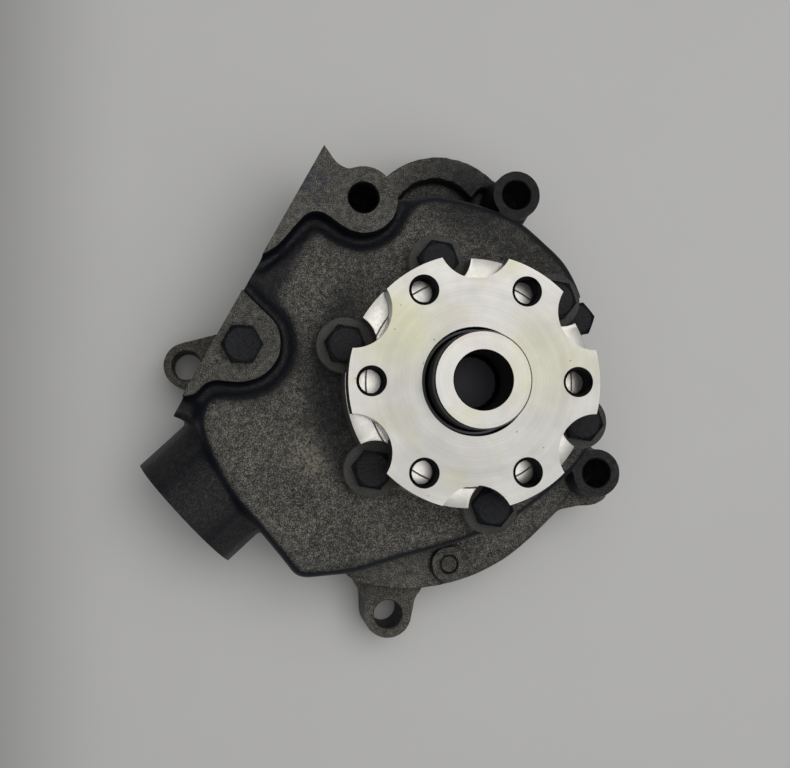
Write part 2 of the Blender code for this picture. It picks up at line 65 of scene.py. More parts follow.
# the drive hub, sizes in mm
hub = {
    "radius": 54.0, "edge": 0.7, "corner": 2.2, "bore": 12.2, "sleeveRadius": 18.5, "sleeveFoot": 78.0,
    "noseRadius": 20.5, "grooveRadius": 23.0, "grooveDepth": 4.0, "grooveCorner": 0.8,
    "scallopRadius": 16.3, "scallopPitch": 59.8,
    "holePitch": 44.2, "holeRadius": 5.1, "holeMouth": 1.35, "threadDepth": 0.55, "threadPitch": 1.75,
}
# the side flange's face line, from its foot to its top
sideRun = (Vector(at["sideTop"]) - Vector(at["sideFoot"])).normalized()
sideOut = Vector((-sideRun.y, sideRun.x))


def spot(x, y, z):
    return Vector((shaftX + x * mm, shaftY + y * mm, z * mm))


def polar(radius, degrees, centre=(0.0, 0.0)):
    turn = math.radians(degrees)
    return (centre[0] + radius * math.cos(turn), centre[1] + radius * math.sin(turn))


def arc(centre, radius, start, end, steps):
    return [polar(radius, start + (end - start) * i / steps, centre) for i in range(steps + 1)]


def circle(centre, radius, sides=48):
    return [polar(radius, 360.0 * i / sides, centre) for i in range(sides)]


def pulledRound(*shapes):  # a band pulled round several outlines
    points = [Vector(p) for shape in shapes for p in shape]
    return [tuple(points[i]) for i in convex_hull_2d(points)]


def flowing(points, steps=5):  # a smooth curve through the points
    knots = [Vector(p) for p in points]
    knots = [2 * knots[0] - knots[1]] + knots + [2 * knots[-1] - knots[-2]]
    curve = []
    for a, b, c, d in zip(knots, knots[1:], knots[2:], knots[3:]):
        for i in range(steps):
            t = i / steps
            bend = (2 * a - 5 * b + 4 * c - d) * t + (3 * b - a - 3 * c + d) * t * t
            curve.append(tuple(b + 0.5 * t * ((c - a) + bend)))
    return curve + [tuple(knots[-2])]


def letGo():  # nothing selected, object mode
    if bpy.context.object and bpy.context.object.mode != "OBJECT":
        bpy.ops.object.mode_set(mode="OBJECT")
    bpy.ops.object.select_all(action="DESELECT")


def pick(piece, *others):
    letGo()
    for one in (piece, *others):
        one.select_set(True)
    bpy.context.view_layer.objects.active = piece


def discard(*pieces):
    for one in pieces:
        bpy.data.meshes.remove(one.data)


def applied(piece, kind, **settings):  # adds a modifier, sets it and applies it
    pick(piece)
    step = piece.modifiers.new(kind.lower(), kind)
    for key, value in settings.items():
        setattr(step, key, value)
    bpy.ops.object.modifier_apply(modifier=step.name)


def tidied(piece, reach=0.004):
    pick(piece)
    bpy.ops.object.mode_set(mode="EDIT")
    bpy.ops.mesh.select_all(action="SELECT")
    bpy.ops.mesh.remove_doubles(threshold=reach * mm)
    bpy.ops.mesh.delete_loose(use_faces=False)
    bpy.ops.mesh.select_all(action="SELECT")
    bpy.ops.mesh.normals_make_consistent(inside=False)
    bpy.ops.object.mode_set(mode="OBJECT")
    return piece


def slab(name, outline, low, high):  # an outline raised from one level to another
    letGo()
    bpy.ops.mesh.primitive_circle_add(vertices=len(outline), radius=0.05, fill_type="NGON")
    piece = bpy.context.object
    piece.name = name
    for corner, (x, y) in zip(piece.data.vertices, outline):
        corner.co = spot(x, y, low)
    bpy.ops.object.mode_set(mode="EDIT")
    bpy.ops.mesh.select_all(action="SELECT")
    bpy.ops.mesh.extrude_region_move(TRANSFORM_OT_translate={"value": (0, 0, (high - low) * mm)})
    return tidied(piece)


# a loop of (radius, height) spun about an upright axis
def turned(name, loop, sides=96, centre=(0.0, 0.0)):
    letGo()
    bpy.ops.mesh.primitive_circle_add(vertices=len(loop), radius=0.05, fill_type="NOTHING")
    piece = bpy.context.object
    piece.name = name
    for corner, (radius, height) in zip(piece.data.vertices, loop):
        corner.co = spot(centre[0] + radius, centre[1], height)
    bpy.ops.object.mode_set(mode="EDIT")
    bpy.ops.mesh.select_all(action="SELECT")
    bpy.ops.mesh.spin(steps=sides, angle=2 * math.pi, center=spot(*centre, 0), axis=(0, 0, 1))
    return tidied(piece)


def post(name, centre, radius, low, high, sides=48):
    return turned(name, [(0, low), (radius, low), (radius, high), (0, high)], sides, centre)


# a hole's shape, with a lead-in at its mouth and below
def drill(name, centre, radius, low, high, mouth=0.0, below=0.0, sides=48):
    loop = [(0, low - 2), (radius + below, low - 2)] if below else [(0, low - 2)]
    if below:
        loop += [(radius + below, low), (radius, low + below)]
    else:
        loop += [(radius, low - 2)]
    if mouth:
        loop += [(radius, high - mouth), (radius + mouth, high), (radius + mouth, high + 4), (0, high + 4)]
    else:
        loop += [(radius, high + 4), (0, high + 4)]
    return turned(name, loop, sides, centre)


# turns a piece built upright on the shaft axis to lie along a direction
def laidOver(piece, start, direction):
    turn = Vector((0, 0, 1)).rotation_difference(Vector(direction)).to_matrix().to_4x4()
    piece.data.transform(Matrix.Translation(spot(*start)) @ turn @ Matrix.Translation(-spot(0, 0, 0)))
    return piece


def blend(target, operands, operation, solver="MANIFOLD"):
    for operand in operands:
        applied(target, "BOOLEAN", operation=operation, solver=solver, object=operand)
    discard(*operands)
    return target


def cutAway(target, *operands, solver="MANIFOLD"):
    return blend(target, operands, "DIFFERENCE", solver)


def weld(target, *operands, solver="MANIFOLD"):
    return blend(target, operands, "UNION", solver)


def cast(target, others, grain, rounds):  # melts loose blocks into one soft-edged casting
    if others:
        pick(target, *others)
        bpy.ops.object.join()
    applied(target, "REMESH", mode="VOXEL", voxel_size=grain * mm, adaptivity=0.0)
    applied(target, "SMOOTH", factor=0.5, iterations=rounds)
    return target


def finished(piece, name, body, nodes, material, angle=35):
    piece.name = name
    piece.data.name = name
    pick(piece)
    bpy.ops.object.shade_smooth_by_angle(angle=math.radians(angle))
    piece.data.materials.clear()
    piece.data.materials.append(material)
    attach(piece, body)
    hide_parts(*nodes)
    return piece


# a shader socket that adds up like a number
class Wire:
    def __init__(self, finish, socket):
        self.finish, self.socket = finish, socket

    def math(self, operation, left, right=0.0):
        return self.finish.node("Math", {"operation": operation}, {0: left, 1: right})

    def then(self, operation, right=0.0):
        return self.math(operation, self, right)

    def __add__(self, other):
        return self.math("ADD", self, other)

    def __radd__(self, other):
        return self.math("ADD", other, self)

    def __sub__(self, other):
        return self.math("SUBTRACT", self, other)

    def __rsub__(self, other):
        return self.math("SUBTRACT", other, self)

    def __mul__(self, other):
        return self.math("MULTIPLY", self, other)

    def __rmul__(self, other):
        return self.math("MULTIPLY", other, self)

    def __truediv__(self, other):
        return self.math("DIVIDE", self, other)

    def __pow__(self, other):
        return self.math("POWER", self, other)

    def over(self, low, high):  # 0 below low, 1 above high, smooth between
        return self.finish.node("MapRange", {"interpolation_type": "SMOOTHSTEP"},
                                {"Value": self, "From Min": low, "From Max": high})


class Finish:
    def __init__(self, name, **fixed):
        self.material = bpy.data.materials.new(name)
        self.material.use_nodes = True
        self.tree = self.material.node_tree
        self.shader = self.tree.nodes["Principled BSDF"]
        for key, value in fixed.items():
            self.shader.inputs[key.replace("_", " ")].default_value = value
        self.place = self.node("TexCoord", {}, {}, "Object")

    def node(self, kind, settings, values, output=0):
        made = self.tree.nodes.new("ShaderNode" + kind)
        for key, value in settings.items():
            if key == "stops":
                ramp = made.color_ramp.elements
                while len(ramp) < len(value):
                    ramp.new(0.5)
                for stop, (position, shade) in zip(ramp, value):
                    stop.position, stop.color = position, (*shade, 1.0)
            else:
                setattr(made, key, value)
        for key, value in values.items():
            if isinstance(value, Wire):
                self.tree.links.new(value.socket, made.inputs[key])
            else:
                made.inputs[key].default_value = value
        return Wire(self, made.outputs[output])

    def noise(self, size, detail=2.0, rough=0.5):  # size of the speckle in mm
        return self.node("TexNoise", {"noise_dimensions": "3D"},
                         {"Vector": self.place, "Scale": 1 / (size * mm), "Detail": detail,
                          "Roughness": rough}, "Fac")

    def rings(self, radius, width, detail=2.0, rough=0.5):  # bands round the shaft, width in mm
        return self.node("TexNoise", {"noise_dimensions": "1D"},
                         {"W": radius, "Scale": 1 / (width * mm), "Detail": detail, "Roughness": rough},
                         "Fac")

    def cells(self, size):
        return self.node("TexVoronoi", {"feature": "F1"},
                         {"Vector": self.place, "Scale": 1 / (size * mm)}, "Distance")

    def fromAxis(self, centre=(0.0, 0.0)):  # place measured from an upright axis
        return self.node("Mapping", {}, {"Vector": self.place, "Location": -spot(*centre, 0)})

    def apart(self, vector):
        made = self.tree.nodes.new("ShaderNodeSeparateXYZ")
        self.tree.links.new(vector.socket, made.inputs[0])
        return [Wire(self, made.outputs[i]) for i in range(3)]

    def radius(self, centre=(0.0, 0.0)):
        x, y, _ = self.apart(self.fromAxis(centre))
        return (x * x + y * y) ** 0.5

    def patch(self, centre, size, soft, ragged=0.0):  # 1 inside a round patch, 0 outside
        reach = self.radius(centre)
        if ragged:
            reach = reach + (self.noise(9, 4, 0.6) - 0.5) * (ragged * mm)
        return 1 - reach.over((size - soft) * mm, (size + soft) * mm)

    def mix(self, share, first, second):  # colours
        values = {0: share}
        for key, shade in ((6, first), (7, second)):
            values[key] = shade if isinstance(shade, Wire) else (*shade, 1.0)
        return self.node("Mix", {"data_type": "RGBA", "blend_type": "MIX"}, values, 2)

    def inHoles(self, radius):  # 1 in the hub's six tapped holes and on their chamfers
        x, y, _ = self.apart(self.fromAxis())
        turn = y.then("ARCTAN2", x).then("PINGPONG", math.radians(30))
        pitch, reach = hub["holePitch"] * mm, (hub["holeRadius"] + hub["holeMouth"]) * mm
        apart = radius * radius + pitch * pitch - radius * (2 * pitch) * turn.then("COSINE")
        return 1 - (apart ** 0.5).over(reach - 0.1 * mm, reach + 0.1 * mm)

    def facing(self):  # how far a face looks up, from 0 to 1
        normal = self.node("NewGeometry", {}, {}, "Normal")
        return self.apart(normal)[2]

    def finish(self, bump=None, depth=0.1, **linked):
        for key, value in linked.items():
            self.tree.links.new(value.socket, self.shader.inputs[key.replace("_", " ")])
        if bump is not None:
            raised = self.node("Bump", {}, {"Strength": 1.0, "Distance": depth * mm, "Height": bump})
            self.tree.links.new(raised.socket, self.shader.inputs["Normal"])
        return self.material


# cast iron colours; two of them are painted shade, one for the valleys, beside the bearing housing and on the
# far right side, one for steep faces and rounded front edges
ironLook = {
    "dark": (0.022, 0.0215, 0.020), "middle": (0.088, 0.086, 0.078), "light": (0.37, 0.362, 0.32),
    "dust": (0.36, 0.335, 0.26), "slopeShade": (0.011, 0.014, 0.024), "casingShade": (0.011, 0.012, 0.017),
    "ink": (0.03, 0.035, 0.14), "roughness": 0.5, "metallic": 0.6,
    "grit": 0.44, "lump": 2.4, "cloud": 34, "pit": 8.5, "bump": 0.55,
}
# dust and ink on the casing, and patches of painted shade round the lugs, on the far right side and on the
# crest: centre, size, softness and raggedness in mm
casingDirtAndShade = {
    "dust": ((-66, -31), 9, 7, 22), "ink": ((-66, 88), 4.5, 4, 12),
    "sideLug": (at["lugBolt"], 25, 5.5, 2), "topLug": (at["topLug"], 22, 5.5, 2),
    "farSide": ((48, 74), 44, 26, 20), "crest": ((-4, 92), 22, 10, 10),
}


def castIron(name, look=ironLook, dustAndShade=True):
    iron = Finish(name, Metallic=look["metallic"])
    grit = iron.noise(look["grit"], 2, 0.6)
    lumps = iron.noise(look["lump"], 2, 0.5)
    cloud = iron.noise(look["cloud"], 3, 0.5)
    pits = 1 - iron.cells(look["pit"]).over(0.035, 0.075)
    # the grain's light specks are partly the skin's own grain and partly painted highlight, standing in for
    # glints
    tone = (grit - 0.5) * 2.9 + (lumps - 0.5) * 0.8 + (cloud - 0.5) * 0.4 + 0.5
    stops = [(0.0, look["dark"]), (0.5, look["middle"]), (1.0, look["light"])]
    shade = iron.node("ValToRGB", {"stops": stops}, {0: tone})
    if dustAndShade:
        dust = iron.patch(*casingDirtAndShade["dust"]) * iron.noise(1.2, 3, 0.7).over(0.40, 0.62)
        shade = iron.mix(dust * 0.85, shade, look["dust"])
        ink = iron.patch(*casingDirtAndShade["ink"]) * iron.noise(4, 2).over(0.35, 0.7)
        shade = iron.mix(ink * 0.8, shade, look["ink"])
    shade = iron.mix(pits * 0.7, shade, look["dark"])
    _, _, height = iron.apart(iron.place)
    # painted shade: the valleys round the lugs, the deck beside the bearing housing and the far right side
    # are darkened
    if dustAndShade:
        shade = iron.mix(paintedCasingShade(iron, height) * 0.85, shade, look["casingShade"])
    up = iron.facing()
    # painted shade and reflection: steep faces and the rounded edges of the front are darkened to a
    # blue-black
    edge = (1 - up.over(0.80, 0.99)) * height.over(58 * mm, 62 * mm)
    steep = (1 - up.over(0.3, 0.95)) * 0.75 + edge * 0.85
    shade = iron.mix(steep.over(0.0, 1.0) * 0.85, shade, look["slopeShade"])
    rough = look["roughness"] + (grit - 0.5) * 0.35
    relief = grit * 0.7 + lumps * 0.5 - pits * 0.5
    return iron.finish(relief, look["bump"], Base_Color=shade, Roughness=rough)


# painted shade in the valley round the lugs and beside the bearing housing, and on the far right side
def paintedCasingShade(iron, height):
    front = height.over(46 * mm, 50 * mm)
    x, y, _ = iron.apart(iron.fromAxis(at["sideFoot"]))
    inward = x * -sideOut.x + y * -sideOut.y
    besideFlange = (1 - inward.over(10.5 * mm, 19 * mm)) * y.over(20 * mm, 35 * mm)
    besideLugs = iron.patch(*casingDirtAndShade["sideLug"]) + iron.patch(*casingDirtAndShade["topLug"]) + besideFlange
    valley = (front * (1 - height.over(66.2 * mm, 67.9 * mm))
              + besideLugs * (1 - height.over(69 * mm, 72 * mm)) * front * 1.2)
    x, _, _ = iron.apart(iron.fromAxis())
    besideHousing = (1 - iron.radius().over(62 * mm, 79 * mm)) * (1 - x.over(-56 * mm, -34 * mm))
    farSide = iron.patch(*casingDirtAndShade["farSide"]) * 0.6 + iron.patch(*casingDirtAndShade["crest"]) * 0.5
    return (valley * 0.8 + besideHousing * 0.8 + farSide).over(0.0, 1.0)


# hub colours; one is painted shade for the bore and the nose groove, and one serves both the turning marks
# and painted shade in the tapped holes
steelLook = {
    "light": (0.43, 0.425, 0.41), "worn": (0.28, 0.272, 0.25), "grey": (0.22, 0.22, 0.215),
    "stain": (0.35, 0.355, 0.17), "pink": (0.41, 0.34, 0.335), "speck": (0.06, 0.055, 0.05),
    "toolMarkAndHoleShade": (0.06, 0.062, 0.07), "hollowShade": (0.016, 0.017, 0.022),
    "roughness": 0.30, "feed": 0.32, "marks": 0.75, "bands": 5,
}
# stains on the hub's face: centre, size, softness and raggedness in mm
hubStains = {"right": ((27, 8), 17, 13, 14), "left": ((-34, 20), 15, 12, 14)}


def turnedSteel(name, look=steelLook):  # fine turning marks round the shaft
    steel = Finish(name, Metallic=1.0, Anisotropic=0.55)
    radius = steel.radius()
    feed = steel.rings(radius, look["feed"], 2.0, 0.6)
    bands = steel.rings(radius, look["bands"])
    cloud = steel.noise(30, 4, 0.6)
    shade = steel.mix(cloud.over(0.35, 0.7) * 0.5, look["light"], look["worn"])
    shade = steel.mix(steel.noise(22, 3, 0.55).over(0.52, 0.72) * 0.35, shade, look["stain"])
    shade = steel.mix(steel.noise(17, 2).over(0.56, 0.75) * 0.25, shade, look["pink"])
    marks = steel.rings(radius, look["marks"], 3.0, 0.7)
    shade = steel.mix(marks.over(0.45, 0.75) * 0.11, shade, look["toolMarkAndHoleShade"])
    stains = steel.patch(*hubStains["right"]) * 0.35 + steel.patch(*hubStains["left"]) * 0.4
    shade = steel.mix(stains, shade, look["stain"])
    ring = (1 - radius.over(36 * mm, 47 * mm)) * radius.over(21 * mm, 26 * mm)
    shade = steel.mix(ring * 0.16, shade, look["grey"])
    # painted shade: the hub's face is greyed towards its lower side (-y), and the shading turns with the hub
    _, across, _ = steel.apart(steel.fromAxis())
    shade = steel.mix((1 - across.over(-38 * mm, 48 * mm)) * 0.30, shade, look["grey"])
    specks = 1 - steel.cells(6.5).over(0.03, 0.08)
    shade = steel.mix(specks * 0.75, shade, look["speck"])
    # painted shade: the six tapped holes and their chamfers are darkened
    shade = steel.mix(steel.inHoles(radius) * 0.9, shade, look["toolMarkAndHoleShade"])
    # painted shade: the bore and its chamfer are darkened
    inside = 1 - radius.over((hub["bore"] + 0.1) * mm, (hub["bore"] + 0.35) * mm)
    shade = steel.mix(inside * 0.9, shade, look["hollowShade"])
    _, _, height = steel.apart(steel.place)
    # painted shade: the groove round the nose is darkened
    groove = (radius.over(19.8 * mm, 19.95 * mm) * (1 - radius.over(22.9 * mm, 23.2 * mm))
              * (1 - height.over(118.6 * mm, 119.2 * mm)))
    shade = steel.mix(groove * 0.94, shade, look["hollowShade"])
    rough = look["roughness"] + (feed - 0.5) * 0.10 + (bands - 0.5) * 0.08 + (cloud - 0.5) * 0.1
    return steel.finish(feed, 0.012, Base_Color=shade, Roughness=rough)


# two shades mottled by a grain, in mm, with a bump of the same grain
def plainFinish(name, shade, lighter, roughness, metallic, grain, bump, speckle=0.6):
    made = Finish(name, Metallic=metallic, Specular_IOR_Level=0.17)
    noise = made.noise(grain, 4, 0.6)
    cloud = made.noise(grain * 14, 2, 0.5)
    colour = made.mix((noise - 0.5) * speckle + (cloud - 0.5) * 0.8 + 0.5, shade, lighter)
    rough = roughness + (noise - 0.5) * 0.25
    return made.finish(noise, bump, Base_Color=colour, Roughness=rough)


housingLook = {
    "dark": (0.022, 0.022, 0.021), "light": (0.12, 0.118, 0.11), "bright": (0.60, 0.59, 0.56),
    "dull": (0.47, 0.46, 0.43), "grit": 0.8, "feed": 0.4, "roughness": 0.55, "bump": 0.22,
}


def housingIron(name, look=housingLook):  # cast lobes with turned and milled faces
    iron = Finish(name)
    grit = iron.noise(look["grit"], 3, 0.65)
    shade = iron.node("ValToRGB", {"stops": [(0.15, look["dark"]), (0.85, look["light"])]},
                      {0: (grit - 0.5) * 1.5 + (iron.noise(9, 3) - 0.5) * 0.5 + 0.5})
    feed = iron.rings(iron.radius(), look["feed"])
    _, _, height = iron.apart(iron.place)
    up = iron.facing()
    seat = level["boltSeat"]
    top = height.over((level["disc"] - 0.6) * mm, (level["disc"] - 0.1) * mm)
    wall = (1 - up.over(0.3, 0.7)) * height.over(level["deck"] * mm, (level["deck"] + 1.2) * mm)
    rim = (up.over(0.25, 0.45) * (1 - up.over(0.90, 0.97)) * iron.noise(5, 2).over(0.42, 0.6)
           * height.over((seat - 0.9) * mm, (seat - 0.6) * mm))
    machined = (top + wall * 0.75 + rim * 0.8).over(0.0, 1.0)
    bright = iron.mix(iron.noise(12, 3).over(0.4, 0.7), look["bright"], look["dull"])
    shade = iron.mix(machined, shade, bright)
    rough = look["roughness"] + (grit - 0.5) * 0.3 - machined * 0.2 + (feed - 0.5) * 0.08
    relief = grit * (1 - machined) + feed * machined * 0.06
    return iron.finish(relief, look["bump"], Base_Color=shade, Roughness=rough, Metallic=machined * 0.6 + 0.4)


rearLook = dict(ironLook, dark=(0.034, 0.031, 0.026), light=(0.26, 0.24, 0.20))
# shade, lighter shade, roughness, metallic, grain, bump, speckle
plainLooks = {
    "blackSteel": ((0.001, 0.0012, 0.002), (0.012, 0.014, 0.020), 0.30, 0.0, 1.3, 0.4, 2.2),
    "groundSteel": ((0.50, 0.50, 0.49), (0.66, 0.65, 0.63), 0.28, 1.0, 0.6, 0.01),
    "oiledSteel": ((0.010, 0.010, 0.014), (0.03, 0.03, 0.034), 0.45, 0.4, 1.5, 0.03),
    "impellerIron": ((0.05, 0.048, 0.045), (0.11, 0.105, 0.10), 0.6, 0.5, 1.0, 0.2),
    "rubber": ((0.012, 0.012, 0.012), (0.03, 0.03, 0.03), 0.72, 0.0, 0.8, 0.05),
    "gasketSheet": ((0.12, 0.13, 0.11), (0.2, 0.21, 0.18), 0.85, 0.0, 0.7, 0.1),
    "carbon": ((0.02, 0.02, 0.022), (0.05, 0.05, 0.052), 0.4, 0.1, 0.4, 0.02),
    "sealCeramic": ((0.25, 0.23, 0.21), (0.36, 0.34, 0.32), 0.22, 0.0, 0.5, 0.005),
    "brass": ((0.42, 0.29, 0.10), (0.55, 0.40, 0.17), 0.38, 1.0, 0.9, 0.02),
}
finishes = {
    "castIron": castIron("castIron"),
    "rearIron": castIron("rearIron", rearLook, False),
    "housingIron": housingIron("housingIron"),
    "turnedSteel": turnedSteel("turnedSteel"),
}
for name, look in plainLooks.items():
    finishes[name] = plainFinish(name, *look)
print("finishes made")

# the volute casing
casing = {
    "grain": 1.25, "softening": 6, "shellGrain": 1.4, "shellSoftening": 26, "edgeRound": 4.2,
    "footTop": 59.5, "valleyFloor": 63.5,
    "spare": 1.6, "shellSpare": 5.0,    # stock left on the faces that are machined afterwards
    "stubRadius": 30.0, "stubBore": 25.0, "stubLength": 34.0, "stubLevel": 35.0, "stubAngle": 42.7,
    "portRadius": 12.0, "portShare": 0.63, "portLevel": 46.0, "tubeRadius": 11.2,
}



def sidePoint(share, out=0.0):
    return tuple(Vector(at["sideFoot"]).lerp(Vector(at["sideTop"]), share) + sideOut * out)


def outerEdge():  # the casing's edge from the hose corner round to the top lug
    left = flowing([(-117.2, -18.5), (-112.1, -32.7), (-102.9, -49.1), (-89.6, -65.1), (-75.5, -82.3)])
    corner = arc((-69.3, -79.2), 7.2, 215, 278, 6)
    low = flowing([(-47.8, -84.6), (-25.7, -78.3), (-2.8, -72.5), (17.0, -65.4), (28.5, -59.5), (48.0, -44.7),
                   (60.0, -31.7), (64.5, -19.5), (60.0, -6.0), (54.0, 8.0)])
    high = flowing([(52.5, 29.0), (58.6, 37.0), (57.0, 45.1), (50.4, 57.1), (40.8, 66.3), (30.0, 75.3),
                    (20.5, 79.8), (6.5, 84.1), (-9.0, 86.9)])
    return left + corner + low + high


def bodyOutline(out):
    return (outerEdge() + [(-21.1, 85.3)] + arc(at["topLug"], 14.2, 10, 105, 14)
            + [(-51.1, 94.4), (-57.0, 97.2), sidePoint(1.03, out), sidePoint(-0.02, out)])


def valleyOutline(out):  # the same without the side flange's foot
    return (outerEdge() + [(-21.1, 85.3)] + arc(at["topLug"], 14.2, 10, 105, 14)
            + [(-51.1, 94.4), (-57.0, 97.2), sidePoint(1.03, out), sidePoint(0.07, out), (-116.5, -9.0)])


def pillowOutline(out):  # the raised front wall inside the valley that runs round the lugs
    roundTop = flowing([(-18.5, 85.8), (-22.5, 82.0), (-26.1, 77.0), (-31.1, 68.6), (-39.5, 63.4),
                        (-47.5, 62.9), (-57.2, 66.8), (-63.5, 71.0), (-67.3, 70.8), (-74.0, 64.0),
                        (-81.5, 56.0), (-90.5, 48.0)])
    roundSide = flowing([(-93.5, 43.4), (-90.5, 38.7), (-85.2, 33.8), (-79.6, 28.4), (-76.5, 19.3),
                         (-78.0, 9.3), (-84.6, 1.0), (-92.4, -2.9), (-101.0, -3.9), (-108.0, -3.4),
                         (-113.0, -6.5), (-116.6, -12.0)])
    return outerEdge() + roundTop + [sidePoint(0.54, out), sidePoint(0.475, out)] + roundSide


def topLugOutline(out):
    inner = flowing([sidePoint(0.545, out), (-83.9, 58.9), (-76.5, 67.0), (-69.0, 75.2), (-63.0, 75.6),
                     (-55.5, 70.6)])
    lug = arc(at["topLug"], 15.9, 240, 335, 14) + [(-28.6, 81.4)] + arc(at["topLug"], 14.2, 16, 105, 10)
    return inner[1:] + lug + [(-51.1, 94.4), (-57.0, 97.2), (-59.0, 101.0), sidePoint(1.03, out),
                              sidePoint(0.56, out)]


def sideLugOutline(out):
    rim = flowing([sidePoint(0.47, out), (-93.3, 36.2), (-88.0, 31.0), (-83.0, 26.1), (-80.6, 19.0),
                   (-81.8, 11.0), (-87.1, 4.3), (-93.5, 1.1), (-101.0, 0.3), (-109.5, 1.4), (-114.8, -1.0)])
    return rim[1:] + [(-116.8, -5.5), sidePoint(0.035, out), sidePoint(0.46, out)]


def flangeOutline():
    low = flowing([(-52.0, -84.0), (-48.0, -88.6), (-41.0, -92.2), (-27.0, -94.9), (-12.8, -94.9),
                   (-2.0, -93.2), (12.2, -89.1), (26.2, -82.2), (37.5, -73.8), (47.9, -64.3), (54.0, -58.8)])
    inside = [(74.5, -32.0), (60.0, -20.0), (20.0, -40.0), (-30.0, -60.0)]
    return low + arc(at["tubeB"], 16.5, 262, 312, 6) + [(78.0, -41.0)] + inside


def raisedFlangeOutline():  # the right-hand stretch stands a little higher
    low = flowing([(2.0, -91.4), (12.2, -88.3), (26.2, -81.4), (37.5, -73.0), (47.9, -63.3), (56.0, -53.0)])
    return low + [(62.0, -44.0), (66.0, -28.0), (40.0, -30.0), (2.0, -55.0)]


def cavityOutline():
    return flowing([(-108.0, -12.0), (-107.5, -20.0), (-103.0, -35.0), (-94.0, -50.0), (-82.0, -63.0),
                    (-68.0, -75.0), (-48.0, -75.0), (-25.0, -69.0), (-2.0, -63.5), (16.0, -56.5),
                    (38.0, -42.0), (51.0, -28.0), (55.0, -18.0), (50.0, -3.0), (46.0, 10.0), (45.5, 22.0),
                    (46.5, 34.0), (43.0, 50.0), (33.0, 62.0), (18.0, 71.0), (4.0, 75.0), (-10.0, 78.0),
                    (-22.0, 76.0), (-31.0, 67.0), (-45.0, 61.0), (-60.0, 63.0), (-78.0, 50.0),
                    (-85.0, 38.0), (-79.0, 24.0), (-78.0, 10.0), (-84.0, 1.0), (-96.0, -4.0)], 3)


def voluteCasing():
    foot, spare, flange = level["casingFoot"], casing["spare"], level["flange"]
    more = casing["shellSpare"]
    shell = slab("shell", bodyOutline(more), foot - 8, casing["footTop"])
    pillow = slab("pillow", pillowOutline(more), foot - 8, level["deck"])
    applied(pillow, "BEVEL", width=casing["edgeRound"] * mm, segments=3, limit_method="ANGLE",
            angle_limit=math.radians(60), use_clamp_overlap=False)
    cast(shell, [slab("valley", valleyOutline(more), foot - 8, casing["valleyFloor"]),
                 pillow,
                 slab("topLug", topLugOutline(more), 50.0, level["lugTop"] + more),
                 slab("sideLug", sideLugOutline(more), 50.0, level["lugTop"] + more)],
         casing["shellGrain"], casing["shellSoftening"])
    stubWay = Vector((*polar(1, casing["stubAngle"]), 0))
    stubEnd = Vector((*at["stubEnd"], casing["stubLevel"]))
    stub = turned("stub", [(0, -more), (casing["stubRadius"], -more),
                           (casing["stubRadius"], casing["stubLength"]), (0, casing["stubLength"])])
    laidOver(stub, stubEnd, stubWay)
    crest = slab("crest", arc((-4.0, 72.9), 37.6, 14, 150, 40) + [(-30.0, 60.0), (25.0, 60.0)],
                 foot - spare, flange)
    besideTube = flowing([(12.6, 84.0), (11.4, 89.0), (15.0, 94.5), (19.6, 96.5), (22.4, 92.0),
                          (24.0, 76.0)], 4)
    cutAway(crest, post("crestPocket", (-6.0, 78.0), 21.4, level["pocket"], flange + 5),
            slab("tubePocket", besideTube, level["pocket"] - 1, flange + 5))
    blocks = [
        stub, crest,
        slab("mountingFlange", flangeOutline(), foot - spare, flange),
        slab("raisedFlange", raisedFlangeOutline(), foot, flange + 2.4),
        slab("tubeWeb", pulledRound(circle(at["tubeA"], casing["tubeRadius"]), [(20.0, 70.0), (31.0, 70.0)]),
             foot - spare, flange + 6),
        post("tubeA", at["tubeA"], casing["tubeRadius"], foot - spare, level["tubeTop"] + spare),
        post("tubeB", at["tubeB"], casing["tubeRadius"], foot - spare, level["tubeTop"] + spare),
        post("dowelBoss", at["dowel"], 8.6, foot, 43.6 + 0.6),
        post("boltBoss", at["casingBolt"], 8.2, foot - spare, 46.0 + spare),
    ]
    cast(shell, blocks, casing["grain"], casing["softening"])
    print("volute casing poured:", len(shell.data.polygons), "faces")
    machineCasing(shell, stubEnd, stubWay)
    return finished(shell, "voluteCasingCast", "pump_housing", ["volute_casing"],
                    finishes["castIron"], 32)


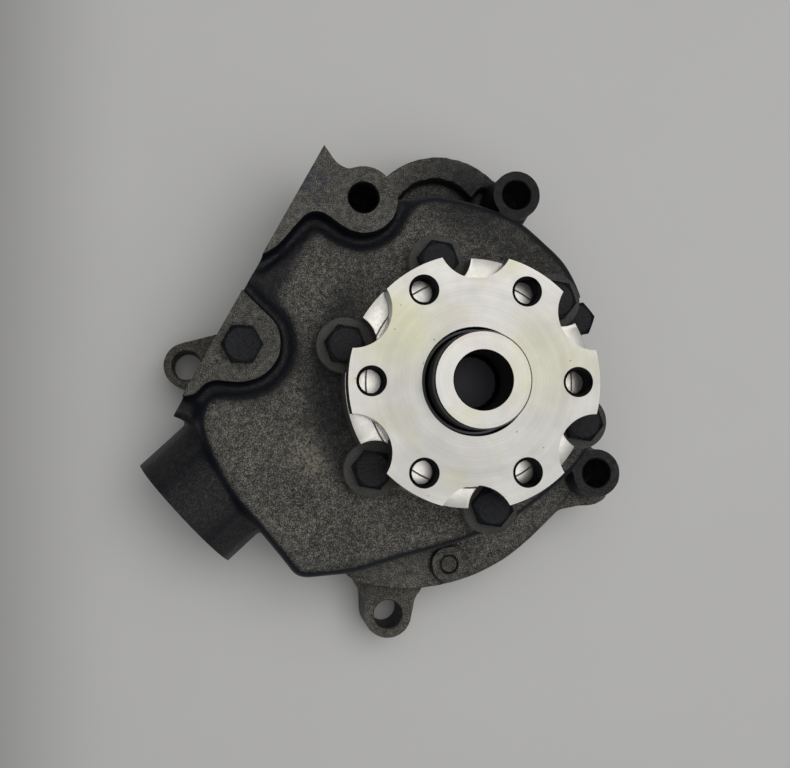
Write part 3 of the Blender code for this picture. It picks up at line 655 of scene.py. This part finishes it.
def machineCasing(body, stubEnd, stubWay):
    foot, far = level["casingFoot"], 200.0
    sheet = [(-far, -far), (far, -far), (far, far), (-far, far)]
    inFront = [sidePoint(-0.1, 0.0), sidePoint(2.0, 0.0), sidePoint(2.0, 60.0), sidePoint(-0.1, 60.0)]
    stubTrim = laidOver(turned("stubTrim", [(0, -30), (45, -30), (45, 0), (0, 0)]), stubEnd, stubWay)
    stubBore = laidOver(turned("stubBore", [(0, -10), (casing["stubBore"] + 1.5, -10),
                                            (casing["stubBore"] + 1.5, 0), (casing["stubBore"], 1.5),
                                            (casing["stubBore"], casing["stubLength"] - 4),
                                            (0, casing["stubLength"] - 4)]), stubEnd, stubWay)
    port = turned("sidePort", [(0, -6), (casing["portRadius"] + 1, -6), (casing["portRadius"] + 1, 0),
                               (casing["portRadius"], 1), (casing["portRadius"], 22), (0, 22)])
    laidOver(port, (*sidePoint(casing["portShare"]), casing["portLevel"]), (*-sideOut, 0))
    cutAway(body, slab("foot", sheet, 0.0, foot), slab("lugFaces", sheet, level["lugTop"], 95.0),
            slab("sideFace", inFront, 0.0, 95.0), stubTrim,
            post("tubeEndA", at["tubeA"], 14, level["tubeTop"], 70),
            post("tubeEndB", at["tubeB"], 14, level["tubeTop"], 66),
            slab("waterSpace", cavityOutline(), 34.0, 59.5),
            post("chamberMouth", at["chamber"], 66.0, 20.0, 35.0, 128), stubBore, port)
    ringSpots = [polar(boltCircle["radius"], boltCircle["start"] + 60 * i) for i in range(6)]
    weld(body, *[post(f"tapBoss{i}", where, 9.5, 46.0, 63.0) for i, where in enumerate(ringSpots)])
    cutAway(body, post("pilotBore", (0, 0), 39.2, 40.0, level["deck"] + 5, 128),
            *[post(f"tap{i}", where, boltHole, 48.5, level["deck"] + 5, 32)
              for i, where in enumerate(ringSpots)],
            post("dowelTop", at["dowel"], 12, 43.5, 50),
            post("boltRoom", at["casingBolt"], 9.3, 46.0, level["deck"] + 5),
            drill("topLugHole", at["topLug"], mountHole, foot, level["lugTop"], 0.5),
            drill("tubeHoleA", at["tubeA"], mountHole, foot, level["tubeTop"], 0.5),
            drill("tubeHoleB", at["tubeB"], mountHole, foot, level["tubeTop"], 0.5),
            drill("sideBoltHole", at["lugBolt"], boltHole, foot, level["lugTop"], 0.4),
            drill("casingBoltHole", at["casingBolt"], boltHole, foot, 46.0, 0.4),
            drill("dowelHole", at["dowel"], 4.3, foot, 43.5, 0.5))


# the casting behind it
rear = {"grain": 1.35, "softening": 8, "coreRadius": 78.0, "chamberRadius": 66.0, "chamberFloor": 5.5,
        "suctionRadius": 27.0, "spare": 1.6}
rearLobes = {  # tip, its radius, root, its radius
    "earLeft": (at["earLeft"], 10.9, (-84.0, 9.0), 22.0),
    "earLow": (at["earLow"], 11.5, (-25.0, -80.0), 14.5),
    "rearTopLug": (at["topLug"], 12.5, (-36.0, 50.0), 14.0),
    "rearTubeA": (at["tubeA"], 11.0, (14.0, 50.0), 14.0),
    "rearTubeB": (at["tubeB"], 11.0, (38.0, -32.0), 18.0),
    "rearBoltLug": (at["casingBolt"], 9.0, (34.0, 18.0), 16.0),
}


def rearHousing():
    top, spare, far = level["rearTop"], rear["spare"], 200.0
    lobes = [slab(name, pulledRound(circle(tip, tipR), circle(root, rootR)), -spare, top + spare)
             for name, (tip, tipR, root, rootR) in rearLobes.items()]
    lobes.append(post("earRoot", (-26.0, -88.0), 17.5, -spare, top + spare, 64))
    housing = slab("rearHousing", circle(at["rear"], rear["coreRadius"], 128), -spare, top + spare)
    cast(housing, lobes, rear["grain"], rear["softening"])
    sheet = [(-far, -far), (far, -far), (far, far), (-far, far)]
    groove = turned("portGroove", [(33.0, -3), (37.4, -3), (37.4, 3.2), (33.0, 3.2)], 128)
    mounts = ["earLeft", "earLow", "topLug", "tubeA", "tubeB"]
    cutAway(housing, slab("back", sheet, -10.0, 0.0), slab("front", sheet, top, 40.0),
            post("pumpChamber", at["chamber"], rear["chamberRadius"], rear["chamberFloor"], top + 5, 128),
            drill("suctionPort", (0, 0), rear["suctionRadius"], 0.0, 10.0, 0.0, 1.5, 128), groove,
            *[drill("hole" + name, at[name], mountHole, 0.0, top, 0.5, 0.5) for name in mounts],
            *[post("tap" + name, at[name], boltHole, 5.0, top + 5) for name in ("lugBolt", "casingBolt")],
            post("dowelSeat", at["dowel"], 4.3, 9.0, top + 5))
    return finished(housing, "rearHousingCast", "pump_housing", ["rear_housing"],
                    finishes["rearIron"], 32)


# the bearing housing on the front wall
bearing = {"rimRadius": 54.0, "lobeRadius": 12.2, "notchRadius": 12.8, "gap": 0.3, "edge": 0.7}


def bearingHousing():
    foot, seat, disc = level["deck"] + bearing["gap"], level["boltSeat"], level["disc"]
    rim = bearing["rimRadius"]
    housing = turned("bearingHousing", [
        (20.3, 30), (30.5, 30), (30.5, 52), (38.9, 54), (38.9, 55), (36.2, 55), (36.2, 59), (38.9, 59),
        (38.9, foot), (rim, foot), (rim, disc), (45.6, disc), (45.2, disc - 0.35), (44.8, disc),
        (32.6, disc), (31.3, disc - 1.3), (31.3, 79), (33.2, 79), (33.2, 76.8), (31.3, 76.8), (31.3, 59),
        (26.3, 59), (26.3, 41), (17.0, 41), (17.0, 38), (20.3, 38)], 160)
    pitch, wide = boltCircle["radius"], bearing["notchRadius"]
    turns = [boltCircle["start"] + 60 * i for i in range(6)]
    spots = [polar(pitch, turn) for turn in turns]
    notches = []
    for i, (turn, where) in enumerate(zip(turns, spots)):
        shape = pulledRound(circle(where, wide, 40), circle(polar(pitch + 20, turn), wide, 40))
        notches.append(slab(f"notch{i}", shape, seat, disc + 5))
    cutAway(housing, *notches, solver="EXACT")
    lobes = [post(f"lobe{i}", where, bearing["lobeRadius"], foot, seat, 56) for i, where in enumerate(spots)]
    weld(housing, *lobes, solver="EXACT")
    cutAway(housing, *[drill(f"ringHole{i}", where, boltHole, 60, seat, 0.4, 0, 32)
                       for i, where in enumerate(spots)], solver="EXACT")
    tidied(housing)
    applied(housing, "BEVEL", width=bearing["edge"] * mm, segments=2, limit_method="ANGLE",
            angle_limit=math.radians(50), harden_normals=False)
    return finished(housing, "bearingHousingTurned", "pump_housing", ["bearing_housing"],
                    finishes["housingIron"], 30)


# the scalloped drive hub
def tappedHole(name, centre):
    low, high, r, mouth = level["hubBack"], level["hubFace"], hub["holeRadius"], hub["holeMouth"]
    loop = [(0, low - 2), (r + 1.0, low - 2), (r + 1.0, low)]
    height = low + 1.0
    while height < high - 1.6:
        loop += [(r, height), (r + hub["threadDepth"], height + hub["threadPitch"] / 2)]
        height += hub["threadPitch"]
    loop += [(r, high - mouth), (r + mouth, high), (r + mouth, high + 3), (0, high + 3)]
    return turned(name, loop, 48, centre)


def driveHub():
    back, face, nose, c = level["hubBack"], level["hubFace"], level["nose"], hub["edge"]
    deep, soft = face - hub["grooveDepth"], hub["grooveCorner"]
    neck, outer = hub["noseRadius"], hub["grooveRadius"]
    body = turned("driveHub", [
        (hub["bore"], hub["sleeveFoot"]), (hub["sleeveRadius"] - c, hub["sleeveFoot"]),
        (hub["sleeveRadius"], hub["sleeveFoot"] + c), (hub["sleeveRadius"], back),
        (hub["radius"] - 0.1, back), (hub["radius"], back + 0.1), (hub["radius"], face - 0.1),
        (hub["radius"] - 0.1, face),
        (outer, face), (outer, deep + soft), (outer - soft, deep), (neck + soft, deep), (neck, deep + soft),
        (neck, nose - 0.7), (neck - 0.7, nose), (hub["bore"] + 0.4, nose), (hub["bore"], nose - 0.4)], 192)
    scallops = []
    for i in range(6):
        where = polar(hub["scallopPitch"], 30 + 60 * i)
        scallops.append(slab(f"scallop{i}", circle(where, hub["scallopRadius"], 120), back - 5, face + 5))
    cutAway(body, *scallops, solver="EXACT")
    tidied(body)
    roundTips(body)
    holes = [tappedHole(f"tapped{i}", polar(hub["holePitch"], 60 * i)) for i in range(6)]
    cutAway(body, *holes, solver="EXACT")
    return finished(body, "driveHubTurned", "rotor", ["drive_hub"],
                    finishes["turnedSteel"], 28)


def roundTips(body):  # rounds the upright edges where the scallops meet the rim
    pick(body)
    mesh = body.data
    bpy.ops.object.mode_set(mode="EDIT")
    bpy.ops.mesh.select_all(action="DESELECT")
    bpy.ops.object.mode_set(mode="OBJECT")
    tips = [polar(1, 30 + 60 * i + side * tipAngle()) for i in range(6) for side in (-1, 1)]
    for edge in mesh.edges:
        a, b = (mesh.vertices[i].co for i in edge.vertices)
        flat = Vector((a.x - shaftX, a.y - shaftY)) / mm
        upright = abs(a.x - b.x) + abs(a.y - b.y) < 0.02 * mm and abs(a.z - b.z) > 2 * mm
        atTip = max(flat.normalized().dot(Vector(tip)) for tip in tips) > 0.99995
        edge.select = upright and flat.length > hub["radius"] - 0.6 and atTip
    print("hub tips found:", sum(edge.select for edge in mesh.edges))
    bpy.ops.object.mode_set(mode="EDIT")
    bpy.ops.mesh.bevel(offset=hub["corner"] * mm, segments=6, affect="EDGES", clamp_overlap=True)
    bpy.ops.object.mode_set(mode="OBJECT")


def tipAngle():  # half the angle that a scallop takes out of the rim
    r, p, s = hub["radius"], hub["scallopPitch"], hub["scallopRadius"]
    return math.degrees(math.acos((r * r + p * p - s * s) / (2 * r * p)))


# hexagon bolts, one shape copied round the ring
bolt = {"gap": 0.3, "washer": 0.5, "cone": 0.93, "shank": 4.9, "threadDepth": 0.55, "threadPitch": 1.5}


def hexBolt(name, flats, head, seat, foot, threadTop):
    low, top = seat + bolt["gap"], seat + bolt["gap"] + head
    reach, flat, ledge = flats / math.sqrt(3), flats / 2, low + bolt["washer"]
    made = slab(name, circle((0, 0), reach, 6), ledge, top)
    disc = flat * bolt["cone"]
    cone = turned("headShape", [(0, low), (reach + 1, low), (reach + 1, top - 1.35), (disc, top - 0.15),
                                (disc - 0.5, top), (disc - 1.2, top - 0.12), (0, top - 0.12)], 72)
    blend(made, [cone], "INTERSECT", "EXACT")
    washer = turned("washer", [(0, low), (disc, low), (flat * 0.95, low + 0.1), (flat * 0.95, ledge + 0.2),
                               (0, ledge + 0.2)], 72)
    loop, r = [(0, foot), (bolt["shank"] - 1.0, foot), (bolt["shank"] - 0.2, foot + 0.8)], bolt["shank"]
    height = foot + 1.5
    while height < threadTop:
        loop += [(r - bolt["threadDepth"], height), (r, height + bolt["threadPitch"] / 2)]
        height += bolt["threadPitch"]
    loop += [(r - 0.3, threadTop + 1), (r - 0.3, seat - 1), (r, seat), (r, low + 1.5), (0, low + 1.5)]
    return weld(made, washer, turned("shank", loop, 32), solver="EXACT")


def setBolts():
    first = hexBolt("ringBolt", 16.0, 6.4, level["boltSeat"], 52.0, 66.0)
    for i in range(6):
        turn = boltCircle["start"] + 60 * i
        copy = bpy.data.objects.new(f"ringBolt{i + 1}", first.data.copy())
        bpy.context.scene.collection.objects.link(copy)
        placeBolt(copy, polar(boltCircle["radius"], turn), turn + 8, f"bearing_housing_bolt_{i + 1}")
    discard(first)
    second = hexBolt("sideLugBolt", 16.0, 6.4, level["lugTop"], 8.0, 30.0)
    placeBolt(second, at["lugBolt"], 0, "side_lug_bolt")
    placeBolt(hexBolt("casingSideBolt", 15.0, 6.0, 46.0, 8.0, 26.0), at["casingBolt"], 10, "casing_bolt")


def placeBolt(piece, centre, turn, node):
    move = Matrix.Translation(spot(*centre, 0)) @ Matrix.Rotation(math.radians(turn), 4, "Z")
    piece.data.transform(move @ Matrix.Translation(-spot(0, 0, 0)))
    finished(piece, piece.name, "pump_housing", [node], finishes["blackSteel"], 25)


# the dowel in the lower flange
dowel = {"radius": 4.0, "foot": 10.0, "top": 43.0, "edge": 0.7}


def dowelPin():
    r, c, low, high = dowel["radius"], dowel["edge"], dowel["foot"], dowel["top"]
    pin = turned("dowelPin", [(0, low), (r - c, low), (r, low + c), (r, high - c),
                              (r - c * 0.7, high - c * 0.2), (r - c * 1.6, high), (0, high)], 48, at["dowel"])
    return finished(pin, "dowelPinGround", "pump_housing", ["dowel_pin"],
                    finishes["rearIron"])


voluteCasing()
print("volute casing finished")
rearHousing()
print("rear housing finished")
bearingHousing()
print("bearing housing finished")
driveHub()
print("drive hub finished")
setBolts()
dowelPin()
print("bolts and dowel finished")

innerFinish = {
    "housing_gasket": "gasketSheet", "bearing_housing_o_ring": "rubber", "engine_port_o_ring": "rubber",
    "pump_shaft": "oiledSteel", "front_bearing_outer_ring": "groundSteel",
    "front_bearing_inner_ring": "groundSteel", "front_bearing_ball_cage": "groundSteel",
    "rear_bearing_outer_ring": "groundSteel", "rear_bearing_inner_ring": "groundSteel",
    "rear_bearing_roller_cage": "brass", "bearing_spacer": "groundSteel",
    "bearing_retaining_ring": "blackSteel", "front_dust_seal": "rubber", "seal_body": "groundSteel",
    "seal_carbon_ring": "carbon", "seal_seat_ring": "sealCeramic", "seal_spring": "groundSteel",
    "impeller": "impellerIron",
}
for node, look in innerFinish.items():
    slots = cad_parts[node].material_slots
    if slots:
        for one in slots:
            one.link = "OBJECT"
            one.material = finishes[look]
    else:
        print("no material slot on", node)
print("inner parts finished")

# table, two soft lights and the camera; the table is painted darker towards its left edge as painted shade
studio = {
    "floor": (0.88, 0.88, 0.875), "mottle": 60, "mottled": 0.97, "tableShade": 0.42,
    "shadeFrom": (-0.235, -0.115), "sky": (0.70, 0.73, 0.78), "skyStrength": 0.07,
    "keyAt": (0.24, 0.14, 1.30), "keySize": 0.95, "keyPower": 4.6,
    "topAt": (0.20, 0.0, 1.50), "topSize": 2.6, "topPower": 9.6,
    "lens": 52.41, "cameraAt": (-0.06585, -0.01559, 0.57840),
    "cameraRight": (0.99094, 0.0, 0.13432), "cameraUp": (-0.0053685, 0.99921, 0.039606),
    "cameraBack": (-0.134213, -0.039968, 0.99015),
}


def areaLight(name, where, size, power, shade):
    bpy.ops.object.light_add(type="AREA", location=where)
    lamp = bpy.context.object
    lamp.name = name
    lamp.data.size, lamp.data.energy, lamp.data.color = size, power, shade
    lamp.rotation_mode = "QUATERNION"
    lamp.rotation_quaternion = Vector((0.0, 0.0, -1.0)).to_track_quat("-Z", "Y")


letGo()
bpy.ops.mesh.primitive_plane_add(size=6.0, location=(0, 0, -0.0002))
floor = bpy.context.object
floor.name = "tableTop"
table = Finish("tablePaint", Roughness=0.65)
mottled = tuple(c * studio["mottled"] for c in studio["floor"])
tableShade = tuple(c * studio["tableShade"] for c in studio["floor"])
paper = table.mix(table.noise(studio["mottle"], 3, 0.5), mottled, studio["floor"])
# painted shade: the table darkens towards its left edge (-x), where light falls off
across, _, _ = table.apart(table.place)
table.finish(Base_Color=table.mix(across.over(*studio["shadeFrom"]), tableShade, paper))
floor.data.materials.append(table.material)
areaLight("keyLight", studio["keyAt"], studio["keySize"], studio["keyPower"], (1.0, 0.985, 0.96))
areaLight("topLight", studio["topAt"], studio["topSize"], studio["topPower"], (1.0, 0.99, 0.97))
world = bpy.context.scene.world or bpy.data.worlds.new("studioWorld")
bpy.context.scene.world = world
world.use_nodes = True
sky = world.node_tree.nodes["Background"]
sky.inputs["Color"].default_value = (*studio["sky"], 1.0)
sky.inputs["Strength"].default_value = studio["skyStrength"]

bpy.ops.object.camera_add()
camera = bpy.context.object
camera.name = "studioCamera"
camera.data.lens, camera.data.sensor_width = studio["lens"], 36.0
axes = Matrix((studio["cameraRight"], studio["cameraUp"], studio["cameraBack"])).transposed().to_4x4()
camera.matrix_world = Matrix.Translation(studio["cameraAt"]) @ axes
bpy.context.scene.camera = camera
bpy.context.scene.view_settings.view_transform = "Standard"
print("floor, light and camera set")
